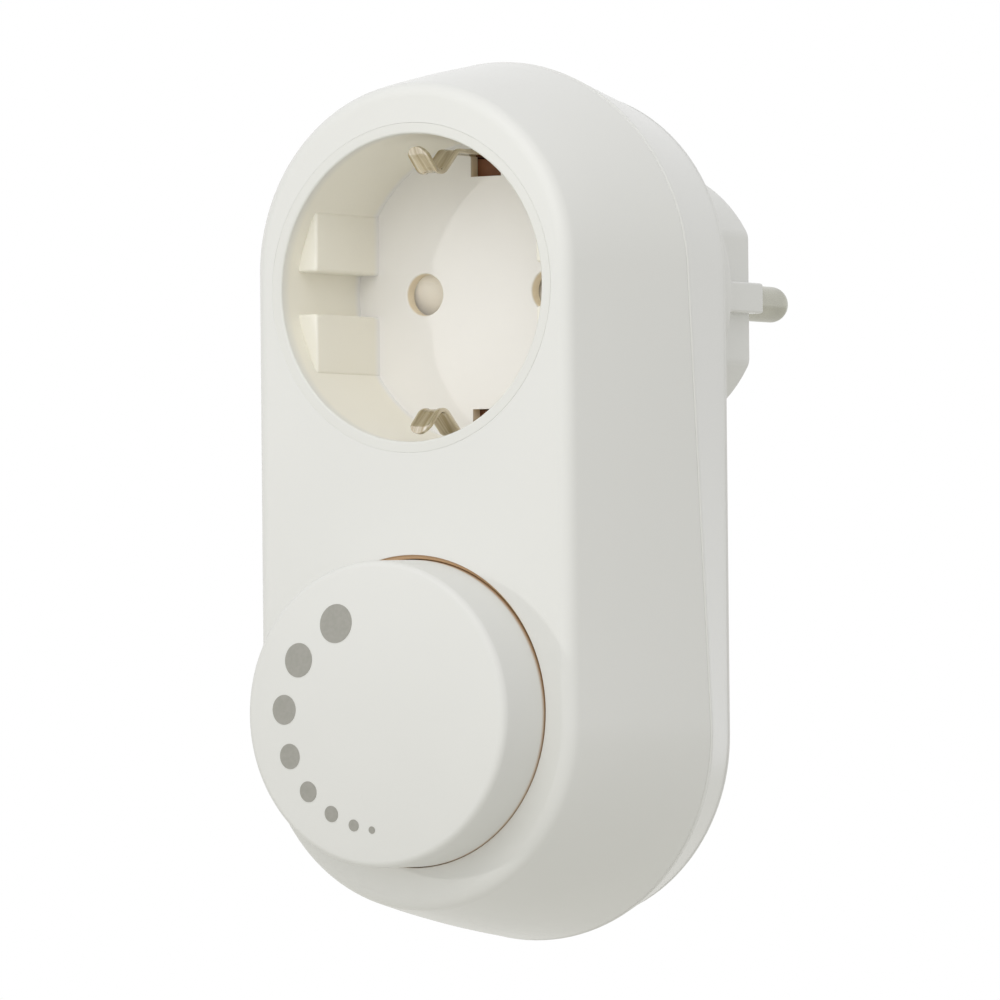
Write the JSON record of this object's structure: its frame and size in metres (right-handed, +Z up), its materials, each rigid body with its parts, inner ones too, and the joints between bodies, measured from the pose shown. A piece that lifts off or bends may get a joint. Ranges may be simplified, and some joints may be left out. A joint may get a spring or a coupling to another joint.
{
  "type": "plug-in dimmer",
  "caption": "Wall-held plug-in lamp dimmer: long rounded housing with an earthed socket recess above a turning level knob and an earthed round-pin plug behind.",
  "frame": {"origin": "midway between the two plug pins, on the face with which the plug seats in a wall socket", "axes": "+Y along the pins into the wall, so the front face and the knob look towards -Y; +Z up, from the knob to the socket; +X to the right seen from the front"},
  "size_m": [0.056, 0.088, 0.1135],
  "materials": {
    "housing_plastic": "moulded warm-white plastic, glossy",
    "insert_plastic": "moulded warm-white plastic, glossy",
    "shutter_plastic": "moulded white plastic",
    "carrier_plastic": "moulded brown phenolic",
    "knob_plastic": "moulded warm-white plastic, satin",
    "dot_ink": "grey printed ink",
    "nickel": "nickel-plated brass",
    "contact_brass": "spring brass",
    "steel": "zinc-plated steel",
    "spring_steel": "spring steel wire",
    "wiper_plastic": "moulded plastic",
    "control_case": "pressed steel",
    "phenolic": "phenolic paper with a printed carbon track",
    "board": "glass-fibre board with green solder resist",
    "black_epoxy": "moulded black epoxy",
    "aluminium": "bare sheet",
    "film_coat": "dipped red epoxy",
    "can_sleeve": "dark blue sleeve over an aluminium can",
    "ferrite": "sintered ferrite",
    "copper_wire": "enamelled copper wire",
    "fuse_glass": "glass tube with end caps",
    "resistor_coat": "lacquered",
    "brown_wire": "soft insulation",
    "blue_wire": "soft insulation",
    "black_wire": "soft insulation"
  },
  "bodies": {
    "housing": {"front_cover": "housing_plastic", "rear_cover": "housing_plastic", "cover_screws": "steel", "socket_insert": "insert_plastic", "shutter_spring": "spring_steel", "contact_carrier": "carrier_plastic", "carrier_screws": "steel", "line_contact": "contact_brass", "neutral_contact": "contact_brass", "socket_earth_clips": "nickel", "plug_earth_strip": "nickel", "earth_rivet": "nickel", "line_pin": "nickel", "neutral_pin": "nickel", "pin_plate": "carrier_plastic", "control_housing": "control_case", "control_base_plate": "phenolic", "circuit_board": "board", "board_screws": "steel", "power_transistor": "black_epoxy", "heat_sink": "aluminium", "heat_sink_screw": "steel", "film_capacitor": "film_coat", "electrolytic_capacitor": "can_sleeve", "choke_core": "ferrite", "choke_winding": "copper_wire", "fuse": "fuse_glass", "fuse_clips": "nickel", "control_chip": "black_epoxy", "resistors": "resistor_coat", "line_wire": "brown_wire", "neutral_wire": "blue_wire", "neutral_tap_wire": "blue_wire", "load_wire": "black_wire"},
    "knob": {"knob": "knob_plastic", "level_dots": "dot_ink", "control_shaft": "aluminium", "control_wiper": "wiper_plastic"},
    "shutter": {"shutter": "shutter_plastic"}
  },
  "joints": [
    {"name": "knob_turn", "type": "hinge", "parent": "housing", "child": "knob", "pos_m": [0, -0.06, -0.054], "axis": [0, 1, 0], "range_deg": [0, 300]},
    {"name": "shutter_turn", "type": "hinge", "parent": "housing", "child": "shutter", "pos_m": [0, -0.037, 0], "axis": [0, 1, 0], "range_deg": [0, 38], "stiffness_Nm_per_rad": 0.004, "springref_deg": -8.59, "deforming": ["shutter_spring"]}
  ]
}
